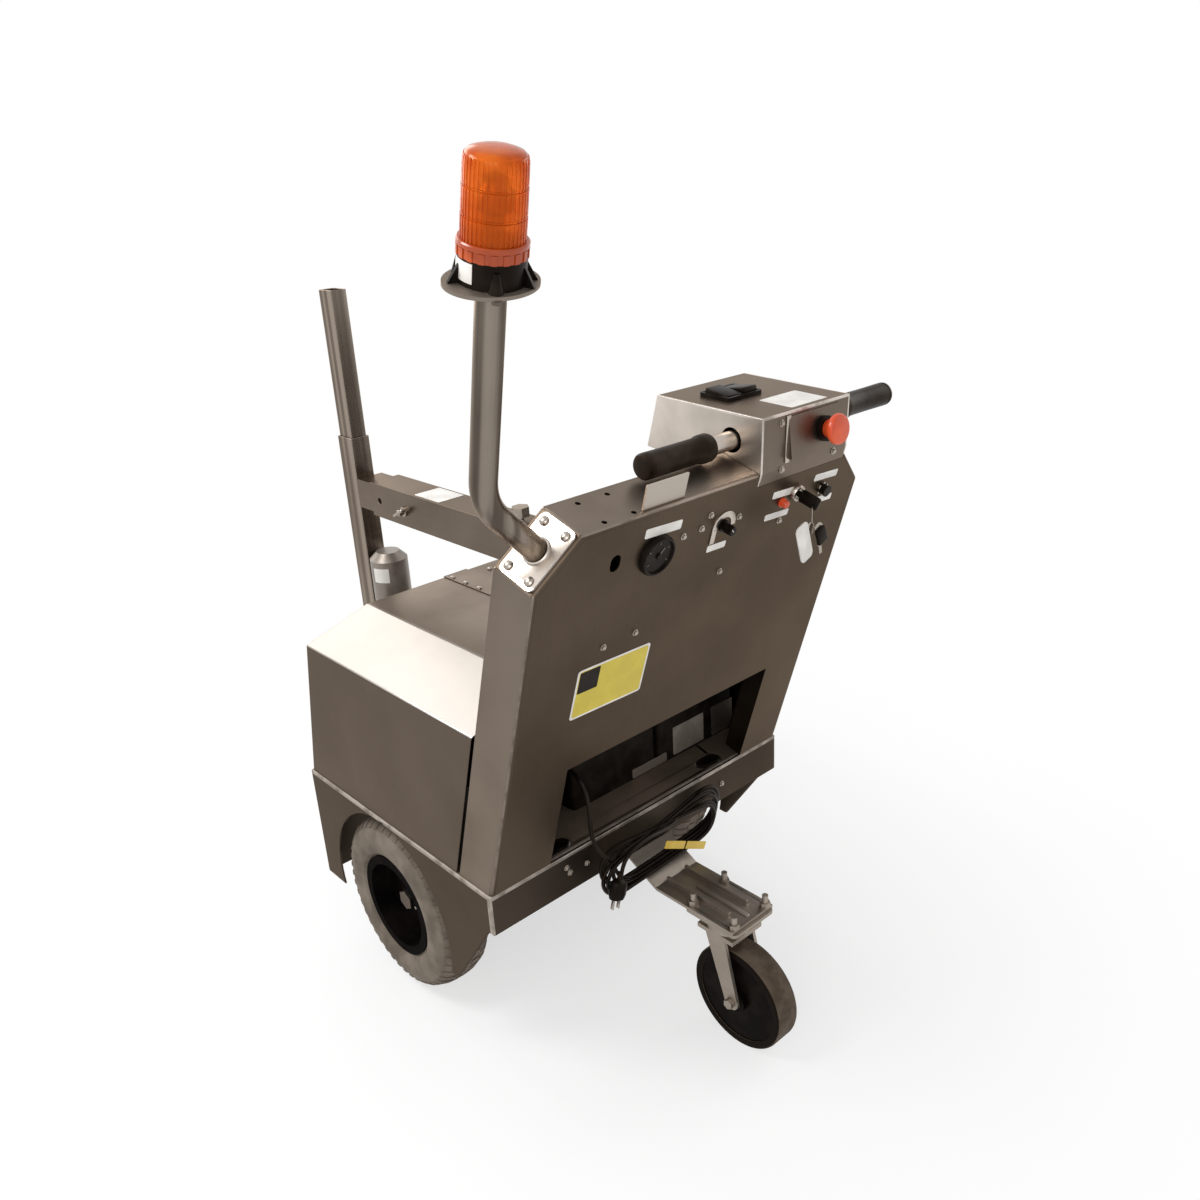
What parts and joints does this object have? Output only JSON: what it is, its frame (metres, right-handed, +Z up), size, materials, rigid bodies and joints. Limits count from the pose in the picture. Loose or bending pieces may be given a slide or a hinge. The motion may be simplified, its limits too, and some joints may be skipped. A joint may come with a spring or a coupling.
{
  "type": "electric tow tractor",
  "caption": "Walk-behind battery tow tractor: folded stainless hood and leaning console on a base pan, with drive wheels, rear swivel caster, lifting tow jaw on a mast and amber beacon",
  "frame": {"origin": "on the floor, midway between the drive wheels and straight below their axle", "axes": "+X to the operator's right, +Y forwards to the tow jaw, +Z up"},
  "size_m": [0.9229, 1.1169, 1.4089],
  "materials": {
    "stainless": "brushed stainless sheet",
    "stainless_tube": "satin stainless tube",
    "plain_steel": "plain machined steel",
    "zinc": "zinc-plated steel",
    "cast_housing": "cast housing",
    "dark_paint": "satin black paint",
    "black_paint": "gloss black paint",
    "tyre": "worn rubber",
    "grip": "moulded rubber",
    "black_plastic": "matt black plastic",
    "dial_plate": "satin plate",
    "red_plastic": "gloss red plastic",
    "amber": "clear amber plastic",
    "battery_case": "matt black case",
    "charger_case": "grey paint",
    "actuator_paint": "grey paint",
    "caster_tread": "grey-brown rubber",
    "cord": "black rubber sheath"
  },
  "bodies": {
    "chassis": {"chassis_base": "stainless", "console_shell": "stainless", "console_front_panel": "stainless", "hood_left": "stainless", "hood_right": "stainless", "head_box": "stainless", "estop_bracket": "stainless", "beacon_plate": "stainless", "pole_flange": "stainless", "beacon_pole": "stainless_tube", "handlebar": "stainless_tube", "mast_outer": "stainless_tube", "arm_outer": "stainless_tube", "arm_inner": "stainless_tube", "axle_hangers": "plain_steel", "mast_bracket": "plain_steel", "caster_bracket": "zinc", "caster_plate": "zinc", "arm_clamp": "zinc", "transaxle": "cast_housing", "drive_motor": "dark_paint", "grips": "grip", "handle_bearing": "black_plastic", "voltmeter": "black_plastic", "rocker_switch": "black_plastic", "estop_collar": "black_plastic", "beacon_base": "black_plastic", "cord_gland": "black_plastic", "key_switch": "black_plastic", "reset_knob": "black_plastic", "speed_dial": "dial_plate", "estop_button": "red_plastic", "breaker_button": "red_plastic", "beacon_lens": "amber", "batteries": "battery_case", "charger": "charger_case", "lift_actuator": "actuator_paint", "cord_lead": "cord", "cord_hank": "cord", "mains_plug": "cord"},
    "wheel_left": {"tyre_left": "tyre", "rim_left": "black_paint", "half_shaft_left": "plain_steel"},
    "wheel_right": {"tyre_right": "tyre", "rim_right": "black_paint", "half_shaft_right": "plain_steel"},
    "caster_swivel": {"caster_fork": "zinc", "caster_axle": "zinc"},
    "caster_wheel": {"caster_core": "black_plastic", "caster_tread": "caster_tread"},
    "lift": {"mast_inner": "stainless_tube", "actuator_rod": "stainless_tube", "tow_carriage": "plain_steel"}
  },
  "joints": [
    {"name": "wheel_left_spin", "type": "hinge", "parent": "chassis", "child": "wheel_left", "pos_m": [-0.287, 0, 0.168], "axis": [1, 0, 0], "continuous": true},
    {"name": "wheel_right_spin", "type": "hinge", "parent": "chassis", "child": "wheel_right", "pos_m": [0.287, 0, 0.168], "axis": [1, 0, 0], "continuous": true},
    {"name": "caster_turn", "type": "hinge", "parent": "chassis", "child": "caster_swivel", "pos_m": [0, -0.502, 0.238], "axis": [0, 0, 1], "continuous": true},
    {"name": "caster_spin", "type": "hinge", "parent": "caster_swivel", "child": "caster_wheel", "pos_m": [0, -0.535, 0.092], "axis": [1, 0, 0], "continuous": true},
    {"name": "mast_lift", "type": "slide", "parent": "chassis", "child": "lift", "axis": [0, 0, 1], "range_m": [0, 0.075]}
  ]
}
